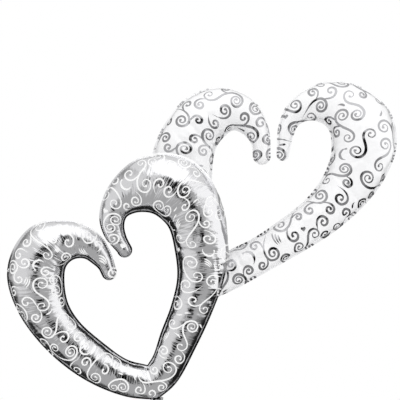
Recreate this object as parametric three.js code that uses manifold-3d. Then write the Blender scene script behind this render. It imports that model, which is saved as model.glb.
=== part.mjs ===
// Two joined open-heart foil balloons: a mirror-silver heart in front and a white heart behind it.
// Each heart is two foil films sealed round their edge, filled to a tube bent into a heart that
// stays open at the notch, with a filling neck, a self-sealing valve and a flat tail at its point.
// Millimetres. +Z is up as the pair floats, +X is to the viewer's right and the viewer is on -Y.
// The origin is on the front of the silver heart's tail, where the ribbon is tied.
import * as THREE from "three";
import { mergeVertices } from "three/addons/utils/BufferGeometryUtils.js";
import Module from "manifold-3d";

const wasm = await Module();
wasm.setup();

// Film and seam
const FILM = 0.8; // the real film is 0.03 thick; a solid needs a little more
const SEAM = 6; // flat sealed edge outside the gas room
const SEAM_GAP = 0.3; // between the front and the back film along the seam
const BULGE = 0.88; // depth of the filled tube over its half width
const SECTION_STEPS = 8; // facets across the front or the back of the tube
const RIBS_PER_STATION = 2;
const TIP_STEPS = 4; // ribs that round off the end of each arm

// Necks, valves and tails
const TAIL_WIDTH = 34;
const TAIL_LENGTH = 66;
const TAIL_CORNER = 5;
const TAIL_HALF_DEPTH = 2; // from the seam's plane to the tail's outer face
const TIE_DROP = 22; // from the heart's point down to where the ribbon is tied
const NECK_GAP = 4.5; // from the heart's point to the top of the tail
const RIBBON_HOLE_RADIUS = 2.5;
const RIBBON_HOLE_DROP = 58;
const VALVE_WIDTH = 22;
const VALVE_REACH = 60; // how far the valve reaches up into the gas room
const VALVE_FILM = 0.6;
const MOUTH_WIDTH = 26; // unsealed stretch of seam that the valve passes through
const MOUTH_RISE = 34;
const MOUTH_HALF_DEPTH = 1.05;

// Where the hearts lie
const SILVER_TAIL_TURN = THREE.MathUtils.degToRad(-11.5);
const WHITE_TAIL_TURN = THREE.MathUtils.degToRad(19.3);
const WHITE_LEAN = THREE.MathUtils.degToRad(8.5); // the white heart's top leans away from the viewer
const WHITE_FROM_SILVER = new THREE.Vector3(118, 87, 279); // point to point

// Glue pads where the hearts touch: centre from the silver heart's point, and slopes of the film
const PAD_RADIUS = 12;
const PAD_DEPTH = 2.2;
const UPPER_PAD = { x: 86, y: 77, z: 608, slopeX: 0, slopeZ: 0 };
const LOWER_PAD = { x: 122, y: 68.5, z: 467, slopeX: 0.12, slopeZ: 0.09 };

// Stations along each arm, from the point of the heart to the tip of the arm:
// [outer edge x, outer edge z, inner edge x, inner edge z], measured from the heart's point.
const SILVER_LEFT_ARM = [
  [0, 0, -29, 106],
  [-97, 11, -91, 123],
  [-218, 61, -160, 171],
  [-333, 150, -235, 238],
  [-419, 263, -269, 294],
  [-454, 372, -280, 357],
  [-436, 457, -276, 401],
  [-382, 524, -260, 421],
  [-298, 548, -239, 429],
  [-221, 534, -217, 427],
  [-168, 495, -194, 412],
  [-141, 451, -177, 397],
  [-123, 394, -167, 378],
];
const SILVER_RIGHT_ARM = [
  [0, 0, -29, 106],
  [58, 51, -11, 136],
  [118, 159, 11, 203],
  [167, 265, 42, 285],
  [204, 369, 61, 372],
  [220, 478, 53, 457],
  [207, 583, 35, 522],
  [167, 668, 9, 551],
  [97, 731, -15, 565],
  [9, 748, -44, 569],
  [-77, 721, -71, 565],
  [-150, 642, -92, 553],
  [-175, 557, -99, 528],
  [-159, 495, -92, 494],
  [-120, 447, -76, 462],
];
const WHITE_LEFT_ARM = [
  [0, 0, 49, 142],
  [-48, 155, 54, 211],
  [-90, 274, 42, 311],
  [-139, 390, 50, 406],
  [-135, 481, 54, 462],
  [-100, 569, 65, 499],
  [-30, 655, 87, 529],
  [72, 690, 116, 550],
  [155, 668, 144, 540],
  [207, 613, 166, 519],
  [230, 543, 175, 497],
  [233, 472, 177, 467],
];
const WHITE_RIGHT_ARM = [
  [0, 0, 49, 142],
  [114, 49, 104, 174],
  [223, 108, 174, 209],
  [331, 169, 264, 270],
  [425, 228, 344, 336],
  [516, 306, 393, 401],
  [583, 390, 420, 469],
  [626, 497, 423, 510],
  [611, 605, 419, 542],
  [537, 680, 404, 566],
  [446, 709, 376, 580],
  [355, 690, 344, 580],
  [288, 636, 319, 564],
  [258, 566, 305, 534],
  [251, 475, 290, 472],
];

// Where the hearts press on each other the film gives way by this much.
const PRESS_DEPTH = 8;
const PRESS_REACH = 60;
const SILVER_PRESS = { x: 66, z: 655 };
const WHITE_PRESS = { x: -52, z: 371 };

const silverFoil = new THREE.MeshStandardMaterial({ color: 0xc4c4c8, roughness: 0.12, metalness: 1 });
const whiteFoil = new THREE.MeshStandardMaterial({ color: 0xf3f3f6, roughness: 0.22, metalness: 0.15 });
const valveFilm = new THREE.MeshStandardMaterial({ color: 0xe4e6e2, roughness: 0.45, metalness: 0 });
const glueGel = new THREE.MeshStandardMaterial({ color: 0xdcdcd6, roughness: 0.5, metalness: 0 });

// A smooth curve through one edge of an arm's stations.
function edgeCurve(stations, column) {
  const points = stations.map((s) => new THREE.Vector3(s[column], s[column + 1], 0));
  return new THREE.CatmullRomCurve3(points, false, "centripetal");
}

// Ribs of an arm from the heart's point to its rounded tip. A rib runs from the inner to the
// outer edge: its middle, its unit direction, its half length and the filled depth over it.
function armRibs(stations) {
  const outer = edgeCurve(stations, 0);
  const inner = edgeCurve(stations, 2);
  const steps = (stations.length - 1) * RIBS_PER_STATION;
  const ribs = [];
  for (let i = 0; i <= steps; i++) {
    const o = outer.getPoint(i / steps);
    const n = inner.getPoint(i / steps);
    const middle = o.clone().add(n).multiplyScalar(0.5);
    const across = o.clone().sub(n);
    const half = across.length() / 2;
    ribs.push({ middle, across: across.normalize(), half, depth: 0 });
  }
  ribs.forEach((rib, i) => {
    const before = ribs[Math.max(i - 1, 0)].middle;
    const after = ribs[Math.min(i + 1, steps)].middle;
    const along = after.clone().sub(before).normalize();
    const square = along.cross(rib.across).length();
    rib.depth = BULGE * square * (rib.half - SEAM);
  });
  return ribs.concat(tipRibs(ribs[steps - 1], ribs[steps]));
}

// Shrinking ribs that close an arm with a round tip.
function tipRibs(before, last) {
  const along = new THREE.Vector3(-last.across.y, last.across.x, 0);
  if (along.dot(last.middle.clone().sub(before.middle)) < 0) along.negate();
  const ribs = [];
  for (let i = 1; i <= TIP_STEPS; i++) {
    const angle = (i / (TIP_STEPS + 0.5)) * (Math.PI / 2);
    const half = last.half * Math.cos(angle);
    ribs.push({
      middle: last.middle.clone().addScaledVector(along, last.half * Math.sin(angle)),
      across: last.across,
      half,
      depth: BULGE * Math.max(half - SEAM, 0),
    });
  }
  return ribs;
}

// The ribs of a whole heart, from the left tip through the point to the right tip.
function heartRibs(leftArm, rightArm) {
  const left = armRibs(leftArm);
  const right = armRibs(rightArm);
  const point = { ...left[0], depth: (left[0].depth + right[0].depth) / 2 };
  return [...left.slice(1).reverse(), point, ...right.slice(1)];
}

// Section of one film over a rib: [distance across, distance out of the seam's plane], first
// along the outside from the inner edge to the outer edge and then back along the inside.
function filmSection(rib) {
  const room = Math.max(rib.half - SEAM, FILM + 0.4);
  const rise = Math.max(rib.depth, 2.5 * FILM);
  const gap = SEAM_GAP / 2;
  const outside = [[-rib.half, gap + FILM]];
  const inside = [[-rib.half, gap]];
  for (let i = 0; i <= SECTION_STEPS; i++) {
    const angle = (Math.PI * i) / SECTION_STEPS;
    const [c, s] = [-Math.cos(angle), Math.sin(angle)];
    outside.push([room * c, gap + FILM + (rise - gap - FILM) * s]);
    inside.push([(room - FILM) * c, gap + (rise - gap - FILM) * s]);
  }
  outside.push([rib.half, gap + FILM]);
  inside.push([rib.half, gap]);
  return { outside, inside };
}

// How far the film is pressed in at a place on the heart.
function pressedIn(press, x, z) {
  if (!press) return 0;
  const r2 = (x - press.x) ** 2 + (z - press.z) ** 2;
  return PRESS_DEPTH * Math.exp(-r2 / (2 * PRESS_REACH ** 2));
}

// One film of a heart as a closed shell; side -1 is the front film and +1 the back film.
function filmGeometry(ribs, side, press) {
  const positions = [];
  const place = (rib, [across, out], pushed) => {
    const x = rib.middle.x + rib.across.x * across;
    const z = rib.middle.y + rib.across.y * across;
    const dent = Math.min(pushed ? pressedIn(press, x, z) : 0, out / 2);
    positions.push(x, side * (out - dent), z);
  };
  for (const rib of ribs) {
    const { outside, inside } = filmSection(rib);
    const last = outside.length - 1;
    outside.forEach((p, i) => place(rib, p, i > 0 && i < last));
    inside.toReversed().forEach((p, i) => place(rib, p, i > 0 && i < last));
  }
  const loop = 2 * (SECTION_STEPS + 3);
  const index = [];
  const quad = (a, b, c, d) => index.push(...(side < 0 ? [a, b, c, a, c, d] : [a, c, b, a, d, c]));
  for (let r = 0; r < ribs.length - 1; r++) {
    for (let i = 0; i < loop; i++) {
      const j = (i + 1) % loop;
      quad(r * loop + i, r * loop + j, (r + 1) * loop + j, (r + 1) * loop + i);
    }
  }
  const end = (ribs.length - 1) * loop;
  for (let i = 0; i < loop / 2 - 1; i++) {
    const [a, b] = [loop - 1 - i, loop - 2 - i];
    quad(i, a, b, i + 1);
    quad(end + i, end + i + 1, end + b, end + a);
  }
  const geometry = new THREE.BufferGeometry();
  geometry.setAttribute("position", new THREE.Float32BufferAttribute(positions, 3));
  geometry.setIndex(index);
  return geometry;
}

// A three.js geometry as a manifold-3d solid, for cutting.
function solidOf(geometry) {
  const bare = geometry.clone().deleteAttribute("normal").deleteAttribute("uv");
  const merged = mergeVertices(bare, 1e-4);
  return new wasm.Manifold(
    new wasm.Mesh({
      numProp: 3,
      vertProperties: new Float32Array(merged.attributes.position.array),
      triVerts: new Uint32Array(merged.index.array),
    }),
  );
}

function geometryOf(solid) {
  const mesh = solid.getMesh();
  const geometry = new THREE.BufferGeometry();
  geometry.setAttribute("position", new THREE.Float32BufferAttribute(mesh.vertProperties, 3));
  geometry.setIndex([...mesh.triVerts]);
  return geometry;
}

// Opens the seam at the heart's point, where the valve passes in.
function withMouth(geometry, turn) {
  const depth = 2 * MOUTH_HALF_DEPTH;
  const mouth = new THREE.BoxGeometry(MOUTH_WIDTH, depth, 2 * MOUTH_RISE).rotateY(turn);
  return geometryOf(solidOf(geometry).subtract(solidOf(mouth)));
}

// A rounded strip of film, lying in the XZ plane below z = 0, from y = 0 to y = depth.
function stripGeometry(width, length, corner, depth, hole) {
  const shape = new THREE.Shape();
  const half = width / 2;
  shape.moveTo(-half, 0);
  shape.lineTo(-half, -length + corner);
  shape.absarc(-half + corner, -length + corner, corner, Math.PI, 1.5 * Math.PI);
  shape.absarc(half - corner, -length + corner, corner, 1.5 * Math.PI, 2 * Math.PI);
  shape.lineTo(half, 0);
  if (hole) {
    const round = new THREE.Path();
    round.absarc(0, -hole.drop, hole.radius, 0, 2 * Math.PI, true);
    shape.holes.push(round);
  }
  const extruded = new THREE.ExtrudeGeometry(shape, { depth, bevelEnabled: false, curveSegments: 6 });
  return extruded.rotateX(Math.PI / 2).translate(0, depth, 0);
}

function namedMesh(name, geometry, material) {
  const mesh = new THREE.Mesh(geometry, material);
  mesh.name = name;
  geometry.computeVertexNormals();
  return mesh;
}

// Front and back ply of a tail, hanging from the heart's point.
function tail(prefix, foil, turn) {
  const depth = FILM;
  const hole = { drop: RIBBON_HOLE_DROP - NECK_GAP, radius: RIBBON_HOLE_RADIUS };
  const ply = () => stripGeometry(TAIL_WIDTH, TAIL_LENGTH, TAIL_CORNER, depth, hole);
  const front = namedMesh(prefix + "_tail_front_ply", ply(), foil);
  front.position.set(0, -TAIL_HALF_DEPTH, -NECK_GAP);
  const back = namedMesh(prefix + "_tail_back_ply", ply(), foil);
  back.position.set(0, TAIL_HALF_DEPTH - depth, -NECK_GAP);
  const group = new THREE.Group().add(front, back);
  group.rotation.y = turn;
  return group;
}

// The two thin plies of the self-sealing valve, from the mouth up into the gas room.
function valve(prefix, turn) {
  const length = VALVE_REACH + 2;
  const ply = () => stripGeometry(VALVE_WIDTH, length, 3, VALVE_FILM);
  const front = namedMesh(prefix + "_valve_front_ply", ply(), valveFilm);
  front.position.set(0, -VALVE_FILM - SEAM_GAP / 2, VALVE_REACH);
  const back = namedMesh(prefix + "_valve_back_ply", ply(), valveFilm);
  back.position.set(0, SEAM_GAP / 2, VALVE_REACH);
  const group = new THREE.Group().add(front, back);
  group.rotation.y = turn;
  return group;
}

// A whole heart with its point at the group's origin.
function heart(prefix, foil, arms, turn, pressed) {
  const ribs = heartRibs(arms.left, arms.right);
  const frontFilm = withMouth(filmGeometry(ribs, -1, pressed.front), turn);
  const backFilm = withMouth(filmGeometry(ribs, 1, pressed.back), turn);
  return new THREE.Group().add(
    namedMesh(prefix + "_front_film", frontFilm, foil),
    namedMesh(prefix + "_back_film", backFilm, foil),
    valve(prefix, turn),
    tail(prefix, foil, turn),
  );
}

// A double-sided glue pad between the back of the silver heart and the front of the white one.
function gluePad(name, at) {
  const disc = new THREE.CylinderGeometry(PAD_RADIUS, PAD_RADIUS, PAD_DEPTH, 24);
  const pad = namedMesh(name, disc, glueGel);
  pad.position.set(at.x, at.y, at.z);
  pad.rotation.set(-Math.atan(at.slopeZ), 0, Math.atan(at.slopeX));
  return pad;
}

const silverHeart = heart(
  "silver",
  silverFoil,
  { left: SILVER_LEFT_ARM, right: SILVER_RIGHT_ARM },
  SILVER_TAIL_TURN,
  { back: SILVER_PRESS },
);
const whiteHeart = heart(
  "white",
  whiteFoil,
  { left: WHITE_LEFT_ARM, right: WHITE_RIGHT_ARM },
  WHITE_TAIL_TURN,
  { front: WHITE_PRESS },
);
whiteHeart.position.copy(WHITE_FROM_SILVER);
whiteHeart.rotation.x = -WHITE_LEAN;

const pair = new THREE.Group().add(
  silverHeart,
  whiteHeart,
  gluePad("upper_glue_pad", UPPER_PAD),
  gluePad("lower_glue_pad", LOWER_PAD),
);
// The ribbon is tied TIE_DROP below the silver heart's point, on the tail's front face.
pair.position.set(
  TIE_DROP * Math.sin(SILVER_TAIL_TURN),
  TAIL_HALF_DEPTH,
  TIE_DROP * Math.cos(SILVER_TAIL_TURN),
);

const balloonPair = new THREE.Group().add(pair);
export default balloonPair;
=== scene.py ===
"""Looks for the joined pair of open-heart foil balloons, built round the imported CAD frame.

Each film is drawn as a sheet: a fine grid swept along the heart, wrinkled and puckered at its
seams, with the scroll print cut into the sheet as faces of its own. Metres, in the CAD's frame.
"""

import math

import bpy
import numpy as np
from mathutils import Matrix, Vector
from mathutils.bvhtree import BVHTree
from mathutils.geometry import delaunay_2d_cdt


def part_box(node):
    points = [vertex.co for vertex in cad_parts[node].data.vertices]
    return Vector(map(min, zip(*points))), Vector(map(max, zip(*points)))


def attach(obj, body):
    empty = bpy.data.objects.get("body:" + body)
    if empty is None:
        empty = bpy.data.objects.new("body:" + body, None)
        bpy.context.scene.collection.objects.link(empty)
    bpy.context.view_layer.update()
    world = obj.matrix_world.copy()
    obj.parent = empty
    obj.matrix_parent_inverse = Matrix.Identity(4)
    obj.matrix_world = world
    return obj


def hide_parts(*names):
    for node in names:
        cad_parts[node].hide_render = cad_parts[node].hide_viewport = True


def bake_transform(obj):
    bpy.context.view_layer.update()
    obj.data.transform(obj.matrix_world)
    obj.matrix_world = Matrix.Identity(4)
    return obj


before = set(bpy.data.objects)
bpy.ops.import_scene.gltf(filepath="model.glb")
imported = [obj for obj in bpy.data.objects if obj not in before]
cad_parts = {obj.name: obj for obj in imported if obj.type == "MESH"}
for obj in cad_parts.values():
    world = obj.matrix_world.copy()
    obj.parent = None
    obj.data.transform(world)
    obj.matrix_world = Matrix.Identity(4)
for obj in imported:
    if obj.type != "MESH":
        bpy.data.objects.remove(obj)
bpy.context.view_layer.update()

# ---- sizes, in millimetres
MM = 0.001
SEAM = 6.0
BULGE = 0.88  # a tube's depth as a share of its width
RIB_PITCH = 4.6  # spacing of the grid's ribs along a heart
ARC_STEPS = 38  # grid steps across one film between its seams
TIP_TURN = math.radians(88)  # how far round a tip's rounded end the ribs go
POINT_BLEND = 14.0  # the two arms' depths are blended this far either side of the point
SEAM_PLACES = (1.0, 0.5, 0.08)  # grid lines over a seam, as shares of its width
PLY_GAP = 0.15  # each film's seam stands this far off the seam's plane
TIE_DROP = 22.0  # from a heart's point down to where its ribbon is tied
TAIL_WIDTH = 34.0
TAIL_LENGTH = 66.0
TAIL_CORNER = 5.0
TAIL_HALF_DEPTH = 2.0
NECK_GAP = 4.5
RIBBON_HOLE_RADIUS = 2.5
RIBBON_HOLE_DROP = 58.0
VALVE_WIDTH = 22.0
VALVE_REACH = 60.0
PAD_RADIUS = 12.0
PAD_DEPTH = 2.2
PAD_SKIN = 0.1  # gap between a pad's gel and each film
TAIL_TURN = {"silver": math.radians(-11.5), "white": math.radians(19.3)}
LEAN = {"silver": 0.0, "white": math.radians(8.5)}
SILVER_POINT = np.array(
    [TIE_DROP * math.sin(TAIL_TURN["silver"]), TAIL_HALF_DEPTH, TIE_DROP * math.cos(TAIL_TURN["silver"])]
)
POINT = {"silver": SILVER_POINT, "white": SILVER_POINT + [118.0, 87.0, 279.0]}

# Stations down each arm, as in the CAD: outer edge x, z and inner edge x, z from the heart's point.
SILVER_LEFT = [
    [0, 0, -29, 106], [-97, 11, -91, 123], [-218, 61, -160, 171], [-333, 150, -235, 238],
    [-419, 263, -269, 294], [-454, 372, -280, 357], [-436, 457, -276, 401], [-382, 524, -260, 421],
    [-298, 548, -239, 429], [-221, 534, -217, 427], [-168, 495, -194, 412], [-141, 451, -177, 397],
    [-123, 394, -167, 378],
]
SILVER_RIGHT = [
    [0, 0, -29, 106], [58, 51, -11, 136], [118, 159, 11, 203], [167, 265, 42, 285],
    [204, 369, 61, 372], [220, 478, 53, 457], [207, 583, 35, 522], [167, 668, 9, 551],
    [97, 731, -15, 565], [9, 748, -44, 569], [-77, 721, -71, 565], [-150, 642, -92, 553],
    [-175, 557, -99, 528], [-159, 495, -92, 494], [-120, 447, -76, 462],
]
WHITE_LEFT = [
    [0, 0, 49, 142], [-48, 155, 54, 211], [-90, 274, 42, 311], [-139, 390, 50, 406],
    [-135, 481, 54, 462], [-100, 569, 65, 499], [-30, 655, 87, 529], [72, 690, 116, 550],
    [155, 668, 144, 540], [207, 613, 166, 519], [230, 543, 175, 497], [233, 472, 177, 467],
]
WHITE_RIGHT = [
    [0, 0, 49, 142], [114, 49, 104, 174], [223, 108, 174, 209], [331, 169, 264, 270],
    [425, 228, 344, 336], [516, 306, 393, 401], [583, 390, 420, 469], [626, 497, 423, 510],
    [611, 605, 419, 542], [537, 680, 404, 566], [446, 709, 376, 580], [355, 690, 344, 580],
    [288, 636, 319, 564], [258, 566, 305, 534], [251, 475, 290, 472],
]

# Where the hearts press on each other, and how deep and how wide the dent is.
PRESSES = {
    ("silver", "back"): [(66, 655, 10.0, 60.0), (122, 467, 2.0, 45.0)],
    ("white", "front"): [(-52, 371, 10.0, 60.0), (4, 188, 2.0, 45.0)],
}

# Creases of each film: from x, z to x, z in the heart's own frame, how deep and how wide.
CREASES = {
    ("silver", "front"): [
        ((64, 457), (170, 448), 2.4, 7.0), ((-30, 100), (0, 0), 3.0, 9.0),
        ((-53, 62), (-56, 4), 1.6, 6.0), ((-268, 481), (-215, 467), 2.2, 7.0),
        ((-292, 463), (-268, 439), 2.4, 7.0), ((-282, 490), (-300, 425), 2.2, 7.0),
        ((-409, 351), (-392, 288), 1.8, 6.0), ((-403, 245), (-263, 115), 2.2, 6.5),
        ((-374, 236), (-300, 165), 2.0, 6.5), ((147, 694), (200, 593), 1.8, 6.0),
        ((200, 593), (212, 480), 1.2, 6.0), ((180, 430), (190, 330), 1.8, 6.0),
        ((196, 440), (188, 350), 1.4, 5.0), ((-150, 118), (-120, 40), 1.6, 7.0),
        ((60, 560), (150, 625), 1.4, 8.0),
    ],
    ("white", "front"): [
        ((66, 640), (82, 520), 3.0, 7.0), ((310, 206), (440, 296), 2.8, 6.5),
        ((296, 180), (400, 250), 1.8, 6.0), ((430, 398), (505, 320), 3.0, 7.0),
        ((470, 262), (450, 330), 2.2, 7.0), ((-20, 560), (30, 500), 2.4, 7.0),
        ((380, 640), (350, 590), 2.0, 7.0), ((-70, 540), (-20, 470), 2.0, 7.0),
        ((560, 470), (470, 430), 2.2, 7.0), ((150, 100), (120, 160), 2.4, 7.0),
    ],
}
CREASE_PAST, CREASE_RAMP = 14.0, 24.0  # how far a crease runs on past its ends, and dies out over

# Puckers at the outer and the inner seam: how far apart, how deep, and how far in they reach.
OUTER_PUCKERS = (21.0, 2.6, 62.0)
INNER_PUCKERS = (26.0, 1.2, 26.0)
# Waves over a film: how high, how long, and how much longer across the tube than along it.
FILM_WAVES = ((0.55, 55.0, 1.0), (0.22, 16.0, 2.0))
SEAM_WAVES = ((0.16, 34.0), (0.12, 40.0))  # of the outer and the inner seam: how high, how long
RELIEF_EASE, SEAM_WAVE_EASE, SLACK_EASE = 9.0, 12.0, 10.0  # how far from a seam each comes in or dies out
FULL_HALF = 60.0  # half the width of a tube that gets the whole of its puckers and waves
SEAM_LEAN = 0.34  # how steeply the outer seam leans back along the top of a heart
SILVER_ROLL = 0.75  # radians that the silver heart's right seam is rolled forward at the most
ROLL_HEIGHT, ROLL_SPREAD = 560.0, 95.0

# How each heart's film puckers, and its print: the seed, the least room between strokes, and the
# pen's half widths, which are its finest, its fullest and the ball at a curl's eye.
STYLES = {
    "silver": {"pucker": 0.4, "seed": 14, "room": 5.6, "pen": (1.0, 2.4, 2.9)},
    "white": {"pucker": 0.6, "seed": 23, "room": 6.5, "pen": (1.35, 3.9, 4.5)},
}
# How far in from each seam the silver print mostly stays clear.
CLEAR_OUTER, CLEAR_INNER = 15.0, 12.0
# The silver print never crosses the outer seam of the right arm below this height.
CLEAR_BELOW = 300.0


# ---- curves and small maths
def smooth_step(x):
    x = np.clip(x, 0.0, 1.0)
    return x * x * (3.0 - 2.0 * x)


def catmull(points, t):
    """Centripetal Catmull-Rom curve through points, at t from 0 to 1."""
    p = np.asarray(points, float)
    p = np.vstack([2 * p[0] - p[1], p, 2 * p[-1] - p[-2]])
    spans = len(p) - 3
    at = np.clip(np.asarray(t) * spans, 0, spans - 1e-9)
    i = at.astype(int)
    w = (at - i)[:, None]
    p0, p1, p2, p3 = (p[i + k] for k in range(4))
    d0, d1, d2 = (
        np.maximum(np.sum((b - a) ** 2, 1), 1e-12)[:, None] ** 0.25
        for a, b in ((p0, p1), (p1, p2), (p2, p3))
    )
    m1 = ((p1 - p0) / d0 - (p2 - p0) / (d0 + d1) + (p2 - p1) / d1) * d1
    m2 = ((p2 - p1) / d1 - (p3 - p1) / (d1 + d2) + (p3 - p2) / d2) * d1
    return p1 + m1 * w + (-3 * p1 + 3 * p2 - 2 * m1 - m2) * w**2 + (2 * p1 - 2 * p2 + m1 + m2) * w**3


def walked(points):
    """Distance along a polyline at each of its points."""
    return np.concatenate([[0.0], np.cumsum(np.linalg.norm(np.diff(points, axis=0), axis=1))])


def blurred(values, sigma):
    """Gaussian blur of the first axis, with the ends held."""
    reach = int(3 * sigma) + 1
    kernel = np.exp(-0.5 * (np.arange(-reach, reach + 1) / sigma) ** 2)
    kernel /= kernel.sum()
    padded = np.concatenate([np.repeat(values[:1], reach, 0), values, np.repeat(values[-1:], reach, 0)])
    out = np.zeros_like(values, dtype=float)
    for k, weight in enumerate(kernel):
        out += weight * padded[k : k + len(values)]
    return out


# ---- ribs of a heart
def arm_ribs(stations):
    """Evenly spaced ribs from the heart's point to the arm's tip: middle, across, half, depth."""
    s = np.asarray(stations, float)
    fine = np.linspace(0, 1, 900)
    outer, inner = catmull(s[:, :2], fine), catmull(s[:, 2:], fine)
    run = walked((outer + inner) / 2)
    count = int(round(run[-1] / RIB_PITCH))
    t = np.interp(np.linspace(0, run[-1], count + 1), run, fine)
    outer, inner = catmull(s[:, :2], t), catmull(s[:, 2:], t)
    middle, across = (outer + inner) / 2, outer - inner
    half = np.linalg.norm(across, axis=1) / 2
    across /= 2 * half[:, None]
    along = np.gradient(middle, axis=0)
    along /= np.linalg.norm(along, axis=1)[:, None]
    square = np.abs(along[:, 0] * across[:, 1] - along[:, 1] * across[:, 0])
    depth = BULGE * square * (half - SEAM)

    end_along = np.array([-across[-1, 1], across[-1, 0]])
    end_along *= np.sign(end_along @ along[-1])
    steps = max(4, int(round(half[-1] * 1.4 / RIB_PITCH)))
    angle = np.linspace(0, TIP_TURN, steps + 1)[1:, None]
    cap_half = half[-1] * np.cos(angle[:, 0])
    cap_depth = np.maximum(cap_half - SEAM, 0) * depth[-1] / (half[-1] - SEAM)
    middle = np.vstack([middle, middle[-1] + end_along * half[-1] * np.sin(angle)])
    across = np.vstack([across, np.repeat(across[-1:], steps, 0)])
    return middle, across, np.concatenate([half, cap_half]), np.concatenate([depth, cap_depth])


def heart_ribs(left, right):
    """Ribs of a whole heart, from the left tip through the point to the right tip."""
    a, b = arm_ribs(left), arm_ribs(right)
    middle, across, half, depth = (np.concatenate([x[::-1], y[1:]]) for x, y in zip(a, b))
    point = len(a[0]) - 1
    near = np.exp(-(((np.arange(len(half)) - point) * RIB_PITCH / POINT_BLEND) ** 2))
    depth = depth * (1 - near) + blurred(depth, 4) * near
    depth = np.maximum(depth, 0.3)
    run = walked(middle)
    return {"middle": middle, "across": across, "half": half, "depth": depth, "run": run, "point": point}


def edge_runs(ribs):
    """Distance along the outer and along the inner edge at each rib."""
    reach = ribs["across"] * ribs["half"][:, None]
    return walked(ribs["middle"] + reach), walked(ribs["middle"] - reach)


# ---- relief: wrinkles and puckers
def folds(rng, edge_run, pitch, depth, reach, arc):
    """Puckers that start at a seam and die out over the film: arc is the distance from the seam."""
    relief = np.zeros(arc.shape)
    at = rng.uniform(0, pitch)
    while at < edge_run[-1]:
        lean = rng.normal(0, 0.18)
        length = reach * rng.uniform(0.35, 1.3)
        strength = depth * rng.uniform(0.35, 1.25)
        width = rng.uniform(3.8, 6.0) + 0.12 * arc
        away = edge_run[:, None] - (at + lean * arc)
        fade = np.clip(1 - arc / length, 0, 1) ** 1.3
        relief -= strength * fade * np.exp(-((away / width) ** 2))
        at += pitch * rng.uniform(0.6, 1.45)
    return relief


def wave_noise(rng, x, y, wavelength, count=24):
    """Smooth seeded noise: a sum of plane waves of about one wavelength."""
    total = np.zeros(x.shape)
    for _ in range(count):
        turn = rng.uniform(0, 2 * math.pi)
        k = 2 * math.pi / (wavelength * rng.uniform(0.7, 1.5))
        total += np.cos(k * (x * math.cos(turn) + y * math.sin(turn)) + rng.uniform(0, 2 * math.pi))
    return total / math.sqrt(count / 2)


def crease(plan, start, end, deep, wide):
    """A straight fold across the film that dies out towards its ends."""
    start, end = np.array(start, float), np.array(end, float)
    along = end - start
    length = np.linalg.norm(along)
    along /= length
    t = (plan - start) @ along
    away = (plan - start) @ np.array([-along[1], along[0]])
    fade = smooth_step((t + CREASE_PAST) / CREASE_RAMP)
    fade *= smooth_step((length + CREASE_PAST - t) / CREASE_RAMP)
    return -deep * fade * np.exp(-((away / wide) ** 2))


# ---- film grids
def tube_section(ribs, sign):
    """Each rib of one film, from its inner to its outer seam: how far across the tube, how far out."""
    c = np.maximum(ribs["half"] - SEAM, 0.4)
    h = ribs["depth"]
    strip = np.minimum(SEAM, ribs["half"] - c)[:, None] * np.array(SEAM_PLACES)
    end = math.pi + ribs["roll"] * sign
    phi = np.linspace(0, 1, ARC_STEPS + 1)[None, :] * end[:, None]
    across = -c[:, None] * np.cos(phi)
    out = PLY_GAP + (h - PLY_GAP)[:, None] * np.sin(phi)
    # the seam's strip stands square off the tube where it leaves it
    stand = np.stack([-np.cos(end) / c, np.sin(end) / h], 1)
    stand /= np.linalg.norm(stand, axis=1)[:, None]
    last_across, last_out = across[:, -1:] + stand[:, :1] * strip, out[:, -1:] + stand[:, 1:] * strip
    across = np.hstack([-(c[:, None] + strip), across, last_across[:, ::-1]])
    return across, np.hstack([np.full(strip.shape, PLY_GAP), out, last_out[:, ::-1]])


def film_relief(heart, side, ribs, arc, upright, out, rng):
    """How far one film stands off the smooth tube: puckers, waves, creases, and the other heart's dents."""
    from_outer = arc[:, -1:] - arc
    outer_run, inner_run = edge_runs(ribs)
    scale = np.clip((ribs["half"] - SEAM) / FULL_HALF, 0.12, 1.0)[:, None]
    pucker = STYLES[heart]["pucker"]
    relief = pucker * folds(rng, outer_run, *OUTER_PUCKERS, from_outer) * scale
    relief += pucker * folds(rng, inner_run, *INNER_PUCKERS, arc) * scale
    along = np.repeat(ribs["run"][:, None], arc.shape[1], 1)
    for high, length, ratio in FILM_WAVES:
        relief += high * wave_noise(rng, along, arc / ratio, length) * scale
    for start, end, deep, wide in CREASES.get((heart, side), []):
        relief += crease(upright, start, end, deep, wide)
    relief *= smooth_step((np.minimum(arc, from_outer) - SEAM) / RELIEF_EASE)
    for x, z, deep, wide in PRESSES.get((heart, side), []):
        away = (upright[:, :, 0] - x) ** 2 + (upright[:, :, 1] - z) ** 2
        relief -= deep * np.exp(-away / (2 * wide**2)) * (out > 0.6 * ribs["depth"][:, None])
    return relief


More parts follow.
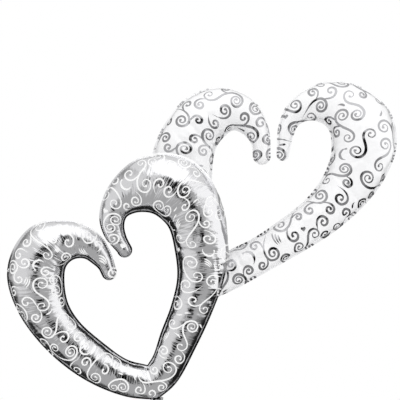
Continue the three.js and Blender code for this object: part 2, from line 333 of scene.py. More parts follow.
def film_grid(heart, ribs, side, rng):
    """Grid of one film in the heart's own frame: places, and the flat plan for the print."""
    sign = -1.0 if side == "front" else 1.0
    middle, way, half = ribs["middle"][:, None], ribs["across"][:, None], ribs["half"][:, None]
    across, out = tube_section(ribs, sign)
    upright = middle + way * across[:, :, None]
    arc = np.cumsum(np.hypot(np.diff(across, axis=1), np.diff(out, axis=1)), axis=1)
    arc = np.hstack([np.zeros((len(half), 1)), arc])
    from_outer = arc[:, -1:] - arc
    relief = film_relief(heart, side, ribs, arc, upright, out, rng)

    place = np.stack([upright[:, :, 0], sign * out, upright[:, :, 1]], 2)
    # the seams' waves and lean are the same on both films
    outer_wave, inner_wave = (wave[:, None] for wave in ribs["seam_wave"])
    place[:, :, 1] += outer_wave * (1 - smooth_step((from_outer - SEAM) / SEAM_WAVE_EASE))
    place[:, :, 1] += inner_wave * (1 - smooth_step((arc - SEAM) / SEAM_WAVE_EASE))
    place[:, :, 1] += ribs["lean"][:, None] * np.clip(SEAM - from_outer, 0, SEAM)
    place += grid_normals(place, sign) * relief[:, :, None]

    # the plan is as wide as the tube at the tips, and half way to the film's arc elsewhere
    from_tip = np.minimum(ribs["run"], ribs["run"][-1] - ribs["run"])[:, None]
    mid_arc = arc[:, -1:] / 2
    wide = half + (mid_arc - half) * 0.5 * smooth_step((from_tip - 20) / 160)
    offset = (arc - mid_arc) / mid_arc
    plan = middle + way * (offset * wide)[:, :, None]
    # the fine ribs are strongest along the middle of the tube, and the seams are taut
    taut = 1 - 0.72 * (1 - np.exp(-((offset / 0.42) ** 2)))
    slack = 0.12 + 0.88 * smooth_step((np.minimum(arc, from_outer) - SEAM) / SLACK_EASE) * taut
    return {"place": place, "plan": plan, "arc": arc, "sign": sign, "run": ribs["run"], "slack": slack}


def grid_normals(place, sign):
    """Unit normals of a grid of places, pointing out of the balloon."""
    n = np.cross(np.gradient(place, axis=0), np.gradient(place, axis=1))
    n /= np.maximum(np.linalg.norm(n, axis=2), 1e-9)[:, :, None]
    return n if np.mean(n[:, n.shape[1] // 2, 1]) * sign > 0 else -n


# ---- the scroll print
class Stroke:
    """One stroke of the print: sampled places, headings and half widths, in millimetres."""

    def __init__(self, turn, length, width):
        s = np.linspace(0, length, int(length / 0.7) + 2)
        bend = turn(s)
        heading = np.concatenate([[0], np.cumsum((bend[1:] + bend[:-1]) / 2 * np.diff(s))])
        step = np.diff(s)[:, None] * np.stack([np.cos(heading[:-1]), np.sin(heading[:-1])], 1)
        path = np.vstack([[0, 0], np.cumsum(step, axis=0)])
        effort = np.cumsum(np.diff(s) / 4.5 + np.abs(np.diff(heading)) / 0.3)
        effort = np.concatenate([[0], effort])
        pick = np.interp(np.linspace(0, effort[-1], int(effort[-1]) + 2), effort, np.arange(len(s)))
        self.path = np.stack([np.interp(pick, np.arange(len(s)), path[:, k]) for k in (0, 1)], 1)
        self.heading = np.interp(pick, np.arange(len(s)), heading)
        self.half = width(np.interp(pick, np.arange(len(s)), s))

    def placed(self, spin, spot, flip=1):
        """A copy turned by spin, moved to spot and, with flip -1, mirrored first."""
        out = object.__new__(Stroke)
        out.path = turned(self.path * [1, flip], spin) + spot
        out.heading = self.heading * flip + spin
        out.half = self.half
        return out

    def outline(self):
        side = np.stack([-np.sin(self.heading), np.cos(self.heading)], 1) * self.half[:, None]
        first, last = self.heading[0], self.heading[-1]
        start = self.path[0] - np.array([math.cos(first), math.sin(first)]) * self.half[0]
        stop = self.path[-1] + np.array([math.cos(last), math.sin(last)]) * self.half[-1]
        return np.vstack([self.path + side, [stop], (self.path - side)[::-1], [start]])


def turned(points, angle):
    c, s = math.cos(angle), math.sin(angle)
    return points @ np.array([[c, s], [-s, c]])


def curl_turn(s, eye, pitch, release):
    """Curvature of a curl at distance s from its eye: even turns, let go beyond release."""
    return smooth_step((1.55 * release - s) / (0.75 * release)) / np.sqrt(eye**2 + pitch / math.pi * s)


def scroll(rng, first, gap, second, pen):
    """Two curls joined by a sweep of length gap; without a second curl the sweep runs to a point."""
    thin, full, ball = pen
    length = first + gap + second
    way = rng.choice([-1.0, -1.0, 1.0])
    sweep = rng.uniform(-0.006, 0.012)
    pitch = rng.uniform(11.0, 13.5)

    def turn(s):
        out = curl_turn(s, 3.2, pitch, first) + sweep
        if second:
            out = out + way * curl_turn(length - s, 3.2, pitch * 0.9, second)
        return out

    def width(s):
        t = np.clip(s / length, 0, 1)
        early, sharp = (1.0, 1.2) if second else (0.8, 1.1)
        body = thin + (full - thin) * np.sin(math.pi * t**early) ** sharp
        end = 0.0
        if second:
            end = (ball * 0.85 - body) * np.exp(-(((length - s) / 4.0) ** 2))
        else:
            body *= np.clip((1 - t) / 0.2, 0.12, 1) ** 0.7
        return body + end + (ball - body) * np.exp(-((s / 4.5) ** 2))

    return Stroke(turn, length, width)


def vine(rng, pen):
    """A long scroll with one or two smaller curls growing off its sweep."""
    main = scroll(rng, rng.uniform(115, 150), rng.uniform(60, 110), rng.choice([0, 62, 84]), pen)
    strokes = [main]
    count = len(main.half)
    for _ in range(14):
        k = int(rng.uniform(0.5, 0.85) * (count - 1))
        side = scroll(rng, rng.uniform(50, 84), rng.uniform(22, 40), 0, pen)
        flip = rng.choice([-1, 1])
        spin = main.heading[k] + (0 if rng.random() < 0.5 else math.pi) - side.heading[-1] * flip
        branch = side.placed(spin, np.zeros(2), flip)
        branch.path = branch.path - branch.path[-1] + main.path[k]
        free = branch.path[: int(len(branch.path) * 0.72)]
        others = np.vstack([stroke.path for stroke in strokes])
        near = np.linalg.norm(free[:, None] - others[None], axis=2).min()
        if near > 4.5 + 2 * pen[1]:
            strokes.append(branch)
        if len(strokes) == 3:
            break
    return strokes


def leaf(bend, length, pen, least, full, early=1.0, sharp=1.0, ball=0.0):
    """A stroke of one even bend, fullest towards its middle, that can start with a ball."""
    return Stroke(
        lambda s: np.full(len(s), bend), length,
        lambda s: least + full * pen[1] * np.sin(math.pi * np.clip(s / length, 0, 1) ** early) ** sharp
        + ball * pen[2] * np.exp(-((s / 3.5) ** 2)),
    )


def feathers(rng, pen):
    """Three short leaf strokes side by side, each shorter than the last."""
    radius, length = rng.uniform(26, 42), rng.uniform(30, 40)
    leaves = (leaf(1 / radius, length * (1 - 0.2 * k), pen, 0.45, 0.62, early=0.75) for k in range(3))
    apart = np.array([2.5, 2.4 + 1.7 * pen[1]])
    return [stroke.placed(0.05 * k, apart * k) for k, stroke in enumerate(leaves)]


def crescent(rng, pen):
    """A fat open curve with a ball at one end."""
    radius, length = rng.uniform(15, 23), rng.uniform(46, 74)
    return [leaf(1 / radius, length, pen, 0.5, 1.05, sharp=1.3, ball=0.7)]


def comma(rng, pen):
    """A single short leaf stroke."""
    length, bend = rng.uniform(16, 26), rng.uniform(0.03, 0.06)
    return [leaf(bend, length, pen, 0.4, 0.75, early=0.6)]


def heart_outline(size):
    """A small plump heart."""
    t = np.linspace(0, 2 * math.pi, 27)[:-1]
    x = 16 * np.sin(t) ** 3
    y = 13 * np.cos(t) - 5 * np.cos(2 * t) - 2 * np.cos(3 * t) - np.cos(4 * t)
    return np.stack([x, y], 1) * size / 32


class PrintField:
    """A flat map of the sheet at CELL millimetres a cell: where film is, and where ink is taken."""

    CELL = 1.5
    MARGIN = 60.0  # round the plan, for strokes that run off it

    def __init__(self, plan):
        self.low = plan.reshape(-1, 2).min(0) - self.MARGIN
        size = plan.reshape(-1, 2).max(0) + self.MARGIN - self.low
        self.film = np.zeros((size / self.CELL).astype(int) + 1, bool)
        self.taken = np.zeros_like(self.film)
        for a in np.arange(4) / 4:
            for b in np.arange(4) / 4:
                q = (
                    plan[:-1, :-1] * (1 - a) * (1 - b) + plan[1:, :-1] * a * (1 - b)
                    + plan[:-1, 1:] * (1 - a) * b + plan[1:, 1:] * a * b
                )
                self.film[self.cells(q.reshape(-1, 2))] = True

    def cells(self, points):
        """Index of the cells that the points lie in, without those off the map."""
        i = ((points - self.low) / self.CELL).astype(int)
        return tuple(i[np.all((i >= 0) & (i < self.film.shape), axis=1)].T)

    def fits(self, points, share):
        """Whether at least this share of the points lies on film, and none on ink."""
        i = self.cells(points)
        return self.film[i].sum() >= len(points) * share and not self.taken[i].any()

    def block(self, path, half, room):
        """Takes the cells within half + room of each path sample."""
        reach = int((half.max() + room) / self.CELL) + 1
        grid = np.arange(-reach, reach + 1) * self.CELL
        dx, dy = np.meshgrid(grid, grid, indexing="ij")
        for p, w in zip(path, half):
            near = dx**2 + dy**2 <= (w + room) ** 2
            self.taken[self.cells(p + np.stack([dx[near], dy[near]], 1))] = True


def print_shapes(rng, pen, room):
    """Motifs, largest first: how often each kind is tried, its room, and how much must be on film."""
    return (
        ([vine(rng, pen) for _ in range(24)], 1600, room, 0.4),
        ([[scroll(rng, 120, 70, 80, pen)] for _ in range(10)], 900, room, 0.5),
        ([feathers(rng, pen) for _ in range(6)], 60, room, 1.0),
        ([[scroll(rng, 100, rng.uniform(30, 60), 0, pen)] for _ in range(10)], 1200, room, 0.5),
        ([crescent(rng, pen) for _ in range(6)], 300, room, 1.0),
        ([None], 80, room, 1.0),
        ([[scroll(rng, 66, rng.uniform(16, 34), 0, pen)] for _ in range(10)], 1600, room, 0.8),
        ([feathers(rng, pen) for _ in range(6)], 400, room, 1.0),
        ([[scroll(rng, 44, 16, 0, pen)] for _ in range(8)], 700, room, 1.0),
        ([comma(rng, pen) for _ in range(8)], 250, room, 1.0),
    )


def clear_rims(grid, ribs):
    """Places of the plan by the seams where the tube turns away, which the print mostly leaves clear."""
    arc, run = grid["arc"], grid["run"][:, None]
    from_outer = arc[:, -1:] - arc
    low = (np.arange(len(run)) > ribs["point"]) & (ribs["middle"][:, 1] < CLEAR_BELOW)
    outer = (from_outer > 2) & (from_outer < SEAM + CLEAR_OUTER)
    outer &= (np.sin(run / 17.0) < -0.5) | low[:, None]
    inner = (arc > 2) & (arc < SEAM + CLEAR_INNER) & (np.sin(run / 14.0) < 0.45)
    return grid["plan"][outer | inner]


def print_outlines(plan, shapes, rng, clear):
    """Outlines of all the ink on one film, in the flat plan, with the places in clear left free."""
    field = PrintField(plan)
    field.block(clear, np.zeros(len(clear) + 1), 3.0)
    spots = plan.reshape(-1, 2)
    outlines = []
    for choices, tries, room, share in shapes:
        for _ in range(tries):
            strokes = choices[rng.integers(len(choices))]
            spot = spots[rng.integers(len(spots))] + rng.uniform(-25, 25, 2)
            if strokes is None:
                shape = turned(heart_outline(rng.uniform(15, 19)), rng.uniform(-0.7, 0.7)) + spot
                if field.fits(shape, share):
                    outlines.append(shape)
                    field.block((shape + spot) / 2, np.full(len(shape), 4.0), room)
                continue
            spin, flip = rng.uniform(0, 2 * math.pi), rng.choice([-1, 1])
            middle = strokes[0].path.mean(0)
            shift = spot - turned(middle * [1, flip], spin)
            moved = [stroke.placed(spin, shift, flip) for stroke in strokes]
            if all(field.fits(stroke.path, share) for stroke in moved):
                outlines.extend(stroke.outline() for stroke in moved)
                for stroke in moved:
                    field.block(stroke.path, stroke.half, room)
    return outlines


# ---- from grid and print to a mesh
def cubic_weights(f):
    """Catmull-Rom weights of the four grid lines round a place."""
    before, after = -0.5 * f + f**2 - 0.5 * f**3, -0.5 * f**2 + 0.5 * f**3
    return np.stack([before, 1 - 2.5 * f**2 + 1.5 * f**3, 0.5 * f + 2 * f**2 - 1.5 * f**3, after])


def sample_grid(grid, u, v):
    """Values of a grid at fractional rows u and columns v."""
    rows, cols = grid.shape[:2]
    i = np.clip(u.astype(int), 0, rows - 2)
    j = np.clip(v.astype(int), 0, cols - 2)
    wu, wv = cubic_weights(u - i), cubic_weights(v - j)
    out = np.zeros((len(u), grid.shape[2]))
    for a in range(4):
        for b in range(4):
            r = np.clip(i + a - 1, 0, rows - 1)
            s = np.clip(j + b - 1, 0, cols - 1)
            out += (wu[a] * wv[b])[:, None] * grid[r, s]
    return out


def inside_any(points, outlines):
    """Which points lie inside at least one of the closed outlines."""
    found = np.zeros(len(points), bool)
    order = np.argsort(points[:, 0])
    sorted_x = points[order, 0]
    for line in outlines:
        low, high = line.min(0), line.max(0)
        first, last = np.searchsorted(sorted_x, [low[0], high[0]])
        near = order[first:last]
        near = near[(points[near, 1] >= low[1]) & (points[near, 1] <= high[1])]
        p = points[near][:, None]
        a, b = line[None], np.roll(line, -1, 0)[None]
        crosses = (a[..., 1] > p[..., 1]) != (b[..., 1] > p[..., 1])
        rise = np.where(a[..., 1] == b[..., 1], 1.0, b[..., 1] - a[..., 1])
        at = a[..., 0] + (p[..., 1] - a[..., 1]) * (b[..., 0] - a[..., 0]) / rise
        found[near] |= (crosses & (p[..., 0] < at)).sum(1) % 2 == 1
    return found


def cut_sheet(points, edges, outlines):
    """A flat sheet over the points, with the edges and the closed outlines cut in: places and triangles."""
    points, edges = [Vector(p) for p in points], list(edges)
    for line in outlines:
        start, size = len(points), len(line)
        points.extend(Vector(p) for p in line)
        edges.extend((start + k, start + (k + 1) % size) for k in range(size))
    verts, _, tris, _, _, _ = delaunay_2d_cdt(points, edges, [], 0, 1e-4, False)
    return np.array([[p[0], p[1]] for p in verts]), np.array(tris)


def used_only(faces, count):
    """Which of count places the faces use, and the faces renumbered to those."""
    used = np.unique(faces)
    renumbered = np.full(count, -1)
    renumbered[used] = np.arange(len(used))
    return used, renumbered[faces]


def new_object(name, verts, faces, materials):
    """A smooth-shaded object in the scene, from places in metres and faces."""
    mesh = bpy.data.meshes.new(name)
    mesh.from_pydata(verts, [], faces)
    mesh.polygons.foreach_set("use_smooth", np.ones(len(faces), bool))
    for material in materials:
        mesh.materials.append(material)
    obj = bpy.data.objects.new(name, mesh)
    bpy.context.scene.collection.objects.link(obj)
    return obj


def mesh_tree(obj):
    mesh = obj.data
    return BVHTree.FromPolygons([v.co[:] for v in mesh.vertices], [p.vertices[:] for p in mesh.polygons])


def film_mesh(name, grid, outlines, to_row, materials):
    """One film as a mesh: the grid's sheet with the print cut in, foil and ink as two materials."""
    rows, cols = grid["plan"].shape[:2]
    plan = grid["plan"].reshape(-1, 2)
    index = np.arange(rows * cols).reshape(rows, cols)
    border = np.concatenate([index[0, :-1], index[:-1, -1], index[-1, :0:-1], index[:0:-1, 0]])
    spots, tris = cut_sheet(plan, np.stack([border, np.roll(border, -1)], 1).tolist(), outlines)

    # the grid's cells say which triangles are film, and where on the grid each spot of the plan lies
    a, b = index[:-1, :-1].ravel(), index[1:, :-1].ravel()
    c, d = index[1:, 1:].ravel(), index[:-1, 1:].ravel()
    cells = np.vstack([np.stack([a, b, c], 1), np.stack([a, c, d], 1)])
    tree = BVHTree.FromPolygons([(*p, 0.0) for p in plan.tolist()], cells.tolist())
    tris = tris[[tree.find_nearest((*p, 0.0))[3] < 0.01 for p in spots[tris].mean(1)]]
    ink = inside_any(spots[tris].mean(1), outlines)
    corner = cells[[tree.find_nearest((*p, 0.0))[2] for p in spots]]
    p0, p1, p2 = (plan[corner[:, k]] for k in range(3))
    area = np.cross(p1 - p0, p2 - p0)
    w1 = np.cross(spots - p0, p2 - p0) / area
    w2 = np.cross(p1 - p0, spots - p0) / area
    at = np.stack([corner // cols, corner % cols], 2).astype(float)
    at = at[:, 0] + (at[:, 1] - at[:, 0]) * w1[:, None] + (at[:, 2] - at[:, 0]) * w2[:, None]
    u, v = np.clip(at[:, 0], 0, rows - 1), np.clip(at[:, 1], 0, cols - 1)

    place = to_row(sample_grid(grid["place"], u, v))
    facing = to_row(sample_grid(grid_normals(grid["place"], grid["sign"]), u, v), turn_only=True)
    facing /= np.linalg.norm(facing, axis=1)[:, None]
    flat_facing = np.cross(place[tris[:, 1]] - place[tris[:, 0]], place[tris[:, 2]] - place[tris[:, 0]])
    wrong = np.einsum("ij,ij->i", flat_facing, facing[tris[:, 0]]) < 0
    tris[wrong] = tris[wrong][:, ::-1]
    used, faces = used_only(tris, len(spots))
    obj = new_object(name, (place[used] * MM).tolist(), faces.tolist(), materials)
    mesh = obj.data
    mesh.polygons.foreach_set("material_index", ink.astype(np.int32))
    for label, values in (
        ("run", np.interp(u, np.arange(rows), grid["run"]) * MM),
        ("span", sample_grid(grid["arc"][:, :, None], u, v)[:, 0] * MM),
        ("slack", sample_grid(grid["slack"][:, :, None], u, v)[:, 0]),
    ):
        layer = mesh.attributes.new(label, "FLOAT", "POINT")
        layer.data.foreach_set("value", values[used].astype(np.float32))
    mesh.update()
    mesh.normals_split_custom_set_from_vertices(facing[used].tolist())
    return obj


# ---- materials
def add_node(tree, kind, inputs=(), output=0, **settings):
    """A node with its settings, its inputs linked or set; returns one of its outputs."""
    made = tree.nodes.new(kind)
    for name, value in settings.items():
        setattr(made, name, value)
    for place, value in inputs:
        if isinstance(value, bpy.types.NodeSocket):
            tree.links.new(value, made.inputs[place])
        else:
            made.inputs[place].default_value = value
    return made.outputs[output]


def math_node(tree, operation, *values):
    return add_node(tree, "ShaderNodeMath", enumerate(values), operation=operation)


def noise(tree, coords, scale, detail):
    """Noise with about this many waves to a metre."""
    inputs = [("Vector", coords), ("Scale", scale), ("Detail", detail)]
    return add_node(tree, "ShaderNodeTexNoise", inputs, "Fac")


def ranged(tree, value, start, end, low, high, **settings):
    """The value, taken from start..end to low..high."""
    inputs = [("Value", value), ("From Min", start), ("From Max", end), ("To Min", low), ("To Max", high)]
    return add_node(tree, "ShaderNodeMapRange", inputs, "Result", **settings)


def bumped(tree, height, strength, distance, below=None):
    inputs = [("Height", height), ("Strength", strength), ("Distance", distance)]
    if below:
        inputs.append(("Normal", below))
    return add_node(tree, "ShaderNodeBump", inputs, "Normal")


def new_material(name, colour, **values):
    """A material of one base colour, with its shader's own sockets set; returns its tree and shader too."""
    material = bpy.data.materials.new(name)
    material.use_nodes = True
    shader = material.node_tree.nodes["Principled BSDF"]
    shader.inputs["Base Color"].default_value = (*colour, 1)
    for socket, value in values.items():
        shader.inputs[socket.replace("_", " ")].default_value = value
    return material, material.node_tree, shader


def object_coords(tree):
    return add_node(tree, "ShaderNodeTexCoord", (), "Object")


def roughened(tree, shader, scale, detail, low, high):
    """Roughness that varies between low and high over the surface."""
    patches = noise(tree, object_coords(tree), scale, detail)
    tree.links.new(ranged(tree, patches, 0.3, 0.7, low, high), shader.inputs["Roughness"])


def crinkled(tree, shader, strength, ribs=0.0):
    """Fine crinkles of foil as bump: soft noise, creased cells, and ribs that run across the tube."""
    coords = object_coords(tree)
    cells = [("Vector", coords), ("Scale", 55.0)]
    cells = add_node(tree, "ShaderNodeTexVoronoi", cells, "Distance", feature="DISTANCE_TO_EDGE")
    lips = ranged(tree, cells, 0.0, 0.12, 0.0, 1.0)
    height = math_node(tree, "MULTIPLY_ADD", lips, 0.25, noise(tree, coords, 90.0, 4.0))
    normal = bumped(tree, height, strength, 0.0012)
    if ribs:
        run, span, slack = (
            add_node(tree, "ShaderNodeAttribute", (), "Fac", attribute_name=label)
            for label in ("run", "span", "slack")
        )
        x, y = math_node(tree, "MULTIPLY", run, 130.0), math_node(tree, "MULTIPLY", span, 11.0)
        along = add_node(tree, "ShaderNodeCombineXYZ", [("X", x), ("Y", y)])
        height = math_node(tree, "SUBTRACT", noise(tree, along, 1.0, 2.0), 0.5)
        normal = bumped(tree, math_node(tree, "MULTIPLY", height, slack), 1.0, ribs, normal)
    tree.links.new(normal, shader.inputs["Normal"])


def silver_film_material():
    material, tree, shader = new_material("silver_film", (0.86, 0.86, 0.875), Metallic=1.0)
    roughened(tree, shader, 25, 5, 0.05, 0.16)
    crinkled(tree, shader, 0.3, ribs=0.0022)
    return material


def white_ink_material():
    material, tree, shader = new_material(
        "white_ink", (0.93, 0.93, 0.93), Roughness=0.35, Coat_Weight=0.3, Coat_Roughness=0.12
    )
    crinkled(tree, shader, 0.2)
    return material


def white_film_material():
    material, tree, shader = new_material(
        "white_film", (0.95, 0.95, 0.96), Roughness=0.25, Coat_Weight=1.0, Coat_Roughness=0.07
    )
    crinkled(tree, shader, 0.3)
    return material


def silver_ink_material():
    material, tree, shader = new_material("silver_ink", (0.50, 0.50, 0.515), Metallic=1.0)
    roughened(tree, shader, 30, 5, 0.10, 0.24)
    crinkled(tree, shader, 0.3)
    return material


def valve_film_material():
    material, tree, shader = new_material(
        "valve_film", (0.88, 0.89, 0.87), Transmission_Weight=0.6, IOR=1.5
    )
    roughened(tree, shader, 60, 4, 0.3, 0.5)
    crinkled(tree, shader, 0.25)
    return material


def glue_material():
    """Clear gel, a little yellower and duller in patches."""
    clear, dull = (0.93, 0.93, 0.90), (0.80, 0.80, 0.76)
    material, tree, shader = new_material("glue_gel", clear, Transmission_Weight=0.75, IOR=1.47)
    patches = noise(tree, object_coords(tree), 220, 5)
    inputs = [(0, patches), (6, (*clear, 1)), (7, (*dull, 1))]
    tint = add_node(tree, "ShaderNodeMix", inputs, 2, data_type="RGBA")
    tree.links.new(tint, shader.inputs["Base Color"])
    roughened(tree, shader, 140, 4, 0.12, 0.35)
    crinkled(tree, shader, 0.5)
    return material


# ---- the object
def row_transform(heart):
    """A function from a heart's own frame to the row frame, still in millimetres."""
    c, s = math.cos(LEAN[heart]), math.sin(LEAN[heart])
    turn = np.array([[1, 0, 0], [0, c, s], [0, -s, c]])

    def to_row(points, turn_only=False):
        return points @ turn.T + (0.0 if turn_only else POINT[heart])

    return to_row


def seam_waves(rng, ribs):
    """Out-of-plane waves of the outer and the inner seam."""
    scale = np.clip(ribs["half"] / FULL_HALF, 0.1, 1.0)
    return [
        high * wave_noise(rng, run, np.zeros(len(run)), length) * scale
        for run, (high, length) in zip(edge_runs(ribs), SEAM_WAVES)
    ]


def seam_roll(heart, ribs):
    """How far the outer seam is rolled forward, in radians: only down the silver heart's right side."""
    if heart == "white":
        return np.zeros(len(ribs["half"]))
    high = ribs["middle"][:, 1] + ribs["across"][:, 1] * ribs["half"]
    right_side = (np.arange(len(high)) > ribs["point"]) & (ribs["across"][:, 0] > 0.3)
    return blurred(SILVER_ROLL * np.exp(-(((high - ROLL_HEIGHT) / ROLL_SPREAD) ** 2)) * right_side, 5)


def build_heart(heart, left, right, foil, ink):
    """The front and the back film of one heart, each with its print."""
    style = STYLES[heart]
    rng = np.random.default_rng(style["seed"])
    ribs = heart_ribs(left, right)
    ribs["seam_wave"] = seam_waves(rng, ribs)
    ribs["roll"] = seam_roll(heart, ribs)
    ribs["lean"] = SEAM_LEAN * smooth_step((ribs["across"][:, 1] - 0.1) / 0.5)
    shapes = print_shapes(rng, style["pen"], style["room"])
    films = []
    for side in ("front", "back"):
        grid = film_grid(heart, ribs, side, rng)
        clear = clear_rims(grid, ribs) if heart == "silver" else grid["plan"][:0, 0]
        outlines = print_outlines(grid["plan"], shapes, rng, clear)
        piece = film_mesh(f"{heart}_{side}_foil", grid, outlines, row_transform(heart), (foil, ink))
        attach(piece, heart + "_heart")
        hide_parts(f"{heart}_{side}_film")
        films.append(piece)
    return films


# ---- tails, valves and glue pads
def strip_mesh(name, heart, outline, hole, surface, material, pitch=2.0):
    """A sheet cut to an outline in the tail's plane; surface gives its depth at each place."""
    xs, zs = (np.arange(low + pitch / 2, high, pitch) for low, high in zip(outline.min(0), outline.max(0)))
    grid = np.array([(x, z) for x in xs for z in zs])
    grid = grid[inside_any(grid, [outline])]
    holes = [] if hole is None else [hole]
    flat, tris = cut_sheet(grid, [], [outline] + holes)
    centre = flat[tris].mean(1)
    tris = tris[inside_any(centre, [outline]) & ~inside_any(centre, holes)]
    used, faces = used_only(tris, len(flat))
    x, z = flat[used].T
    y = surface(x, z)
    c, s = math.cos(TAIL_TURN[heart]), math.sin(TAIL_TURN[heart])
    place = row_transform(heart)(np.stack([x * c + z * s, y, z * c - x * s], 1)) * MM
    return new_object(name, place.tolist(), faces.tolist(), [material])


def tail_point(heart, drop):
    """A place on the tail's middle line, drop millimetres below the heart's point, in metres."""
    own = np.array([[-drop * math.sin(TAIL_TURN[heart]), 0.0, -drop * math.cos(TAIL_TURN[heart])]])
    return (row_transform(heart)(own)[0] * MM).tolist()


def tail_outline():
    """The tail and its neck: rounded at the foot, flared where it runs up into the heart."""
    half, foot, corner = TAIL_WIDTH / 2, -NECK_GAP - TAIL_LENGTH, TAIL_CORNER
    turn = np.linspace(0, math.pi / 2, 8)
    right = np.stack([half - corner + corner * np.sin(turn), foot + corner - corner * np.cos(turn)], 1)
    flare = np.array([[half, -10], [half + 0.4, -5], [half + 1.6, 0], [half + 3.6, 4], [9, 9.5], [0, 11]])
    side = np.vstack([right, [[half, z] for z in np.linspace(foot + 12, -14, 14)], flare])
    return np.vstack([side, (side * [-1, 1])[::-1][1:]])


def build_tail(heart, foil, seed):
    """The two plies of a tail, gathered where the ribbon is tied, with a hole near the foot."""
    rng = np.random.default_rng(seed)
    turn = np.linspace(0, 2 * math.pi, 25)[:-1]
    hole = np.stack([np.cos(turn), np.sin(turn)], 1) * RIBBON_HOLE_RADIUS - [0, RIBBON_HOLE_DROP]
    crumple = rng.uniform(0, 100)
    for side, sign in (("front", -1.0), ("back", 1.0)):
        ripple = np.random.default_rng(seed + 7)

        def surface(x, z):
            """Sealed flat at the edges, a little slack between them, gathered where it is tied."""
            edge = np.clip((TAIL_WIDTH / 2 - np.abs(x)) / 5.0, 0, 1)
            foot = np.clip((z + NECK_GAP + TAIL_LENGTH) / 8.0, 0, 1)
            round_hole = np.clip((np.hypot(x, z + RIBBON_HOLE_DROP) - RIBBON_HOLE_RADIUS) / 5.0, 0, 1)
            gap = 0.25 + 1.45 * smooth_step(edge) * smooth_step(foot) * smooth_step(round_hole)
            gap = gap + 0.35 * smooth_step((z + 6) / 8)
            shared = 0.7 * np.sin(x / 5.2 + 0.6 * np.sin(z / 9)) * np.exp(-(((z + TIE_DROP) / 15) ** 2))
            shared += 0.35 * wave_noise(ripple, x + crumple, z, 26.0)
            own = 0.16 * wave_noise(rng, x, z, 8.0) * edge
            return sign * gap + (shared + own) * smooth_step((4 - z) / 10)

        piece = strip_mesh(f"{heart}_tail_{side}_foil", heart, tail_outline(), hole, surface, foil)
        tail_point(heart, -1)
        tail_point(heart, 14)
        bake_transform(piece)
        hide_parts(f"{heart}_tail_{side}_ply")


def build_valve(heart, film, seed):
    """The two thin plies of a self-sealing valve, which lie together inside the neck."""
    half = VALVE_WIDTH / 2
    top = VALVE_REACH
    corners = [[-half, -2], [half, -2], [half, top - 2], [half - 2, top], [2 - half, top], [-half, top - 2]]
    for side, sign in (("front", -1.0), ("back", 1.0)):
        ripple = np.random.default_rng(seed)

        def surface(x, z):
            """Two plies that lie together, with a shared gentle wave."""
            free = smooth_step((z - 4) / 30)
            return sign * (0.2 + 0.25 * free) + 0.9 * wave_noise(ripple, x, z, 40.0) * free

        name = f"{heart}_valve_{side}_sheet"
        piece = strip_mesh(name, heart, np.array(corners), None, surface, film)
        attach(piece, heart + "_heart")
        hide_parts(f"{heart}_valve_{side}_ply")


def build_pad(name, gel, before, behind):
    """A gel disc squeezed between the two hearts, following both films."""
    low, high = (np.array(corner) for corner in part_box(name))
    middle = (low + high) / 2
    rings, sides = 9, 36
    verts = []
    for tree, way in ((before, -1.0), (behind, 1.0)):
        for ring in range(rings):
            for k in range(sides if ring else 1):
                radius = PAD_RADIUS * MM * math.sin(math.pi / 2 * ring / (rings - 1))
                turn = 2 * math.pi * k / sides
                x, z = middle[0] + radius * math.cos(turn), middle[2] + radius * math.sin(turn)
                hit = tree.ray_cast((x, middle[1] - way * 0.0005, z), (0.0, way, 0.0), 0.02)[0]
                y = hit[1] - way * PAD_SKIN * MM if hit else middle[1] + way * PAD_DEPTH / 2 * MM
                verts.append([x, y, z])
    count = len(verts) // 2
    faces = []
    for base in (0, count):
        for ring in range(rings - 1):
            for k in range(sides):
                n = (k + 1) % sides
                inner = base + 1 + (ring - 1) * sides
                outer = inner + sides
                face = [inner + k, outer + k, outer + n, inner + n] if ring else [base, outer + k, outer + n]
                faces.append(face if base else face[::-1])
    rim = 1 + (rings - 2) * sides
    for k in range(sides):
        n = (k + 1) % sides
        faces.append([rim + k, rim + n, count + rim + n, count + rim + k])
    piece = new_object(name + "_gel", verts, faces, [gel])
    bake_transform(piece)
    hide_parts(name)


# ---- the pieces
silver_foil, white_foil = silver_film_material(), white_film_material()
silver_films = build_heart("silver", SILVER_LEFT, SILVER_RIGHT, silver_foil, white_ink_material())
white_films = build_heart("white", WHITE_LEFT, WHITE_RIGHT, white_foil, silver_ink_material())
build_tail("silver", silver_foil, 31)
build_tail("white", white_foil, 47)
valve_film = valve_film_material()
build_valve("silver", valve_film, 53)
build_valve("white", valve_film, 59)
glue_gel = glue_material()
silver_tree, white_tree = mesh_tree(silver_films[1]), mesh_tree(white_films[0])
for pad in ("upper_glue_pad", "lower_glue_pad"):
    build_pad(pad, glue_gel, silver_tree, white_tree)


# ---- stage, light and camera
STUDIO_BASE = 0.42
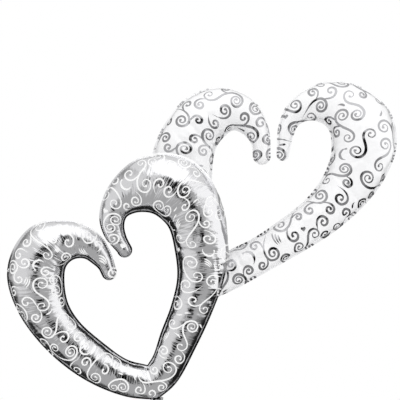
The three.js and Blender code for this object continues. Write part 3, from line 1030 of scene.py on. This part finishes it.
# Soft patches of the studio: the mirror's facing x and z, inner and outer radius, brightness.
STUDIO_LOBES = (
    (0.87, -0.44, 0.20, 0.48, 0.03),
    (0.10, 0.95, 0.62, 0.85, 0.75),
    (0.05, 0.49, 0.20, 0.40, 1.25),
    (0.58, 0.16, 0.20, 0.32, 1.05),
    (0.78, -0.06, 0.18, 0.27, 1.05),
    (0.94, 0.30, 0.08, 0.20, 0.36),
    (-0.86, 0.60, 0.10, 0.24, 0.22),
    (-0.50, 0.08, 0.22, 0.44, 0.74),
    (-0.97, 0.15, 0.12, 0.26, 0.25),
    (0.00, 0.00, 0.99, 0.90, 0.30),
    (0.00, 0.02, 0.10, 0.20, 0.00),
    (0.45, -0.37, 0.05, 0.19, 0.22),
    (0.64, -0.48, 0.12, 0.23, 0.07),
    (0.80, -0.66, 0.30, 0.39, 0.012),
    (0.45, -0.85, 0.10, 0.30, 0.08),
    (-0.97, -0.36, 0.14, 0.28, 0.02),
    (-0.62, -0.76, 0.22, 0.36, 0.02),
    (-0.32, -0.95, 0.12, 0.30, 0.04),
    (1.00, 0.10, 0.06, 0.14, 0.45),
)
BACK_LEVEL = 0.6  # what the back films face, seen from the front only in the last sliver of a rim
BACK_FULL, BACK_NONE = 0.995, 0.97  # how squarely backward that light lies
SOFT_LOW, SOFT_HIGH = 0.84, 1.32  # the soft light from straight below and from straight above
CAMERA_DISTANCE, FRAME_WIDTH = 5.0, 1.211  # metres, as are the next two lines
CAMERA_ASIDE, CAMERA_UP = 0.1302, 0.6056  # from the silver heart's point
FLOOR_REACH, FLOOR_LEVEL = 1.3, -0.2
CARD_DEPTH = 84.0  # millimetres
WHITE = (1.0, 1.0, 1.0, 1.0)


def place_camera():
    camera = bpy.data.objects.new("camera", bpy.data.cameras.new("camera"))
    camera.data.sensor_width = 36
    camera.data.lens = 36 * CAMERA_DISTANCE / FRAME_WIDTH
    x, y, z = SILVER_POINT * MM
    camera.location = (x + CAMERA_ASIDE, y - CAMERA_DISTANCE, z + CAMERA_UP)
    camera.rotation_euler = (math.pi / 2, 0, 0)
    bpy.context.scene.collection.objects.link(camera)
    bpy.context.scene.camera = camera


def patch(tree, level, value, measure, full, none):
    """The level, changed to value where the measure is at full, and as it was where it is at none."""
    mask = ranged(tree, measure, full, none, 1.0, 0.0, interpolation_type="SMOOTHSTEP")
    return add_node(tree, "ShaderNodeMix", [(0, mask), (2, level), (3, value)])


def light_studio():
    """Soft white light, light and dark areas for the mirrors alone, and white paper for the camera."""
    bpy.context.scene.view_settings.view_transform = "Standard"
    world = bpy.data.worlds.new("studio")
    bpy.context.scene.world = world
    world.use_nodes = True
    tree = world.node_tree
    tree.nodes.clear()

    def vector_node(operation, *values, output="Vector"):
        return add_node(tree, "ShaderNodeVectorMath", enumerate(values), output, operation=operation)

    # the studio is laid out by the way a mirror must face to show each part of it to the camera
    direction = add_node(tree, "ShaderNodeTexCoord", (), "Generated")
    facing = vector_node("NORMALIZE", vector_node("SUBTRACT", direction, (0.0, 1.0, 0.0)))
    flat = vector_node("MULTIPLY", facing, (1.0, 0.0, 1.0))
    level = STUDIO_BASE
    for x, z, inner, outer, value in STUDIO_LOBES:
        away = vector_node("DISTANCE", flat, (x, 0.0, z), output="Value")
        level = patch(tree, level, value, away, inner, outer)
    backward = vector_node("DOT_PRODUCT", direction, (0.0, 1.0, 0.0), output="Value")
    level = patch(tree, level, BACK_LEVEL, backward, BACK_FULL, BACK_NONE)

    height = vector_node("DOT_PRODUCT", direction, (0.0, 0.0, 1.0), output="Value")
    rise = (SOFT_HIGH - SOFT_LOW) / 2
    strength = math_node(tree, "MULTIPLY_ADD", height, rise, SOFT_LOW + rise)
    studio = add_node(tree, "ShaderNodeBackground", [("Color", level)])
    soft = add_node(tree, "ShaderNodeBackground", [("Color", WHITE), ("Strength", strength)])
    paper = add_node(tree, "ShaderNodeBackground", [("Color", WHITE)])
    diffuse = add_node(tree, "ShaderNodeLightPath", (), "Is Diffuse Ray")
    seen = add_node(tree, "ShaderNodeLightPath", (), "Is Camera Ray")
    lit = add_node(tree, "ShaderNodeMixShader", [(0, diffuse), (1, studio), (2, soft)])
    shown = add_node(tree, "ShaderNodeMixShader", [(0, seen), (1, lit), (2, paper)])
    tree.links.new(shown, tree.nodes.new("ShaderNodeOutputWorld").inputs["Surface"])


def flat_piece(name, corners, colour, roughness):
    """A flat piece of the stage with its own plain material."""
    material, _, _ = new_material(name, colour, Roughness=roughness)
    piece = new_object(name, corners, [list(range(len(corners)))], [material])
    return piece


def build_stage():
    """A pale floor below the pair, and a black card that only mirrors see, behind the silver hole."""
    r = FLOOR_REACH
    corners = [(x, y, FLOOR_LEVEL) for x, y in ((-r, -r), (r, -r), (r, r), (-r, r))]
    floor = flat_piece("floor", corners, (0.93, 0.93, 0.93), 0.6)
    floor.visible_glossy = False
    left = catmull(np.array(SILVER_LEFT)[:, 2:], np.linspace(0, 0.86, 26))
    right = catmull(np.array(SILVER_RIGHT)[:, 2:], np.linspace(0.03, 0.86, 34))
    x, z = (np.vstack([left[::-1], right]) + SILVER_POINT[[0, 2]]).T
    corners = np.stack([x, np.full(len(x), CARD_DEPTH), z], 1) * MM
    card = flat_piece("black_card", corners.tolist(), (0.01, 0.01, 0.01), 0.9)
    card.visible_camera = card.visible_diffuse = False
    card.visible_shadow = card.visible_transmission = False


place_camera()
light_studio()
build_stage()
